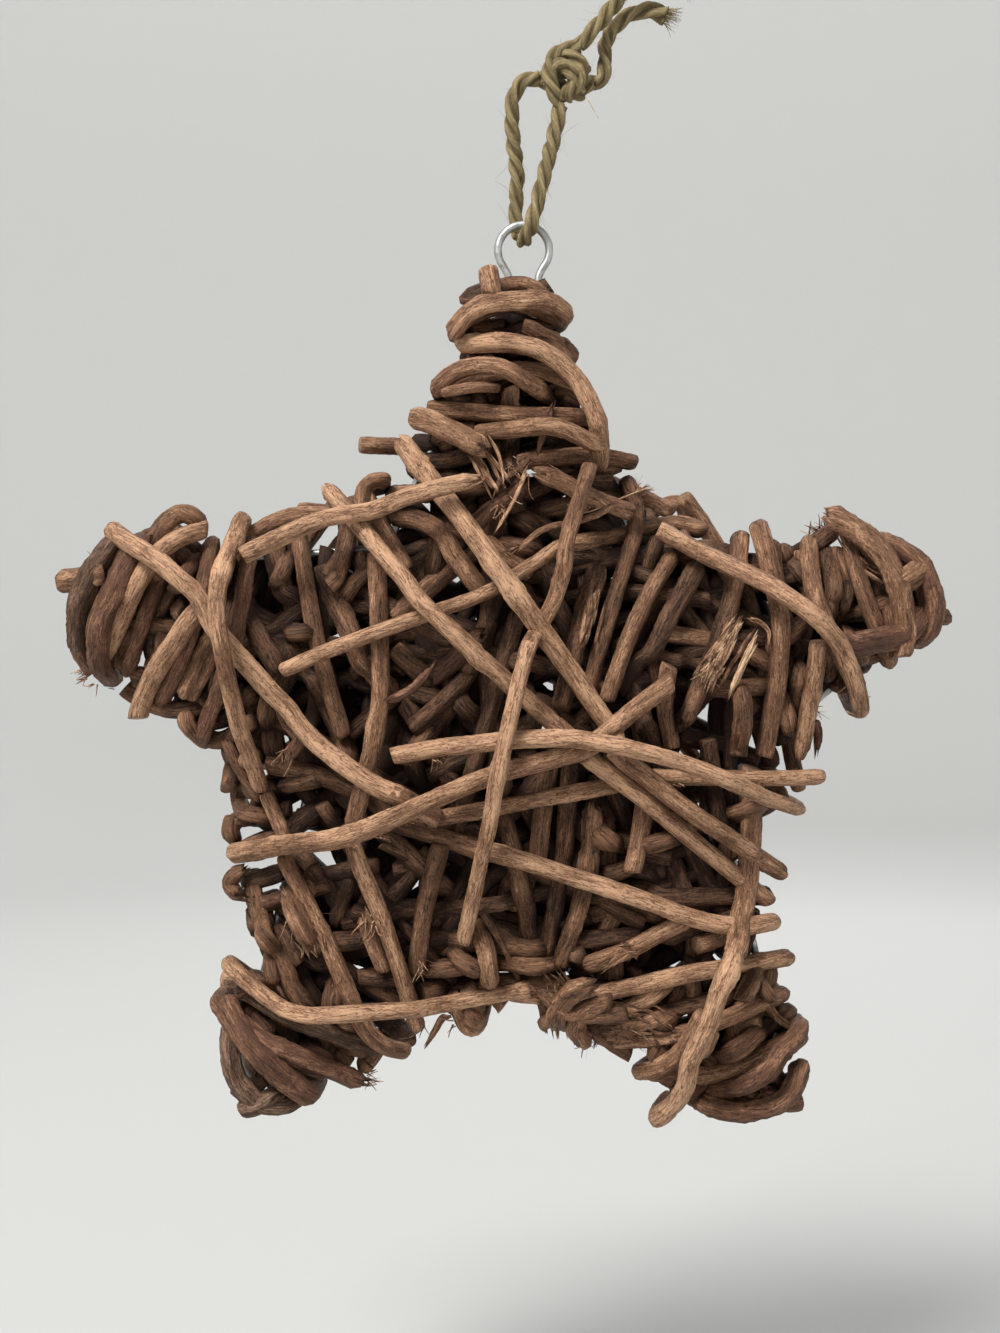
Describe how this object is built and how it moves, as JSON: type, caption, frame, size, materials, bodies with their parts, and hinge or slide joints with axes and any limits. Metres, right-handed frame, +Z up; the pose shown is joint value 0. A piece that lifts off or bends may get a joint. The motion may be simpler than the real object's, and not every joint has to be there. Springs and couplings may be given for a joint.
{
  "type": "wicker star ornament",
  "caption": "Five-pointed star of vine twigs laid over and wound round a wire star, hung from the wire's eye on a knotted loop of jute twine.",
  "frame": {"origin": "under the top of the twine loop, where a hook or nail holds it", "axes": "+Z up along the hanging loop, -Y out of the star's front face, +X to the right seen from the front"},
  "size_m": [0.2177, 0.0624, 0.2862],
  "materials": {
    "vine_bark": "dry brown bark, matt",
    "weathered_bark": "darker grey-brown bark, matt",
    "galvanised_wire": "dull galvanised",
    "jute_twine": "hairy natural jute"
  },
  "bodies": {
    "root": {"back_twig_1": "vine_bark", "back_twig_10": "vine_bark", "back_twig_2": "vine_bark", "back_twig_3": "vine_bark", "back_twig_4": "vine_bark", "back_twig_5": "vine_bark", "back_twig_6": "vine_bark", "back_twig_7": "vine_bark", "back_twig_8": "vine_bark", "back_twig_9": "vine_bark", "front_twig_01": "vine_bark", "front_twig_02": "vine_bark", "front_twig_03": "vine_bark", "front_twig_04": "vine_bark", "front_twig_05": "vine_bark", "front_twig_06": "vine_bark", "front_twig_07": "vine_bark", "front_twig_08": "vine_bark", "front_twig_09": "vine_bark", "front_twig_10": "vine_bark", "front_twig_11": "vine_bark", "front_twig_12": "vine_bark", "front_twig_13": "vine_bark", "front_twig_14": "vine_bark", "front_twig_15": "vine_bark", "front_twig_16": "vine_bark", "front_twig_17": "vine_bark", "front_twig_18": "vine_bark", "front_twig_19": "vine_bark", "front_twig_20": "vine_bark", "front_twig_21": "vine_bark", "front_twig_22": "vine_bark", "front_twig_23": "vine_bark", "front_twig_24": "vine_bark", "front_twig_25": "vine_bark", "front_twig_26": "vine_bark", "front_twig_27": "vine_bark", "front_twig_28": "vine_bark", "front_twig_29": "vine_bark", "front_twig_30": "vine_bark", "front_twig_31": "vine_bark", "front_twig_32": "vine_bark", "front_twig_33": "vine_bark", "front_twig_34": "vine_bark", "front_twig_35": "vine_bark", "left_arm_winding": "vine_bark", "left_arm_wrap_1": "weathered_bark", "left_arm_wrap_2": "vine_bark", "lower_left_winding": "weathered_bark", "lower_left_wrap_1": "weathered_bark", "lower_right_winding": "vine_bark", "lower_right_wrap_1": "vine_bark", "right_arm_winding": "vine_bark", "right_arm_wrap_1": "weathered_bark", "top_arm_winding": "vine_bark", "twine_knot": "jute_twine", "twine_loop": "jute_twine", "twine_tail_a": "jute_twine", "twine_tail_b": "jute_twine", "wire_frame": "galvanised_wire"}
  },
  "joints": []
}
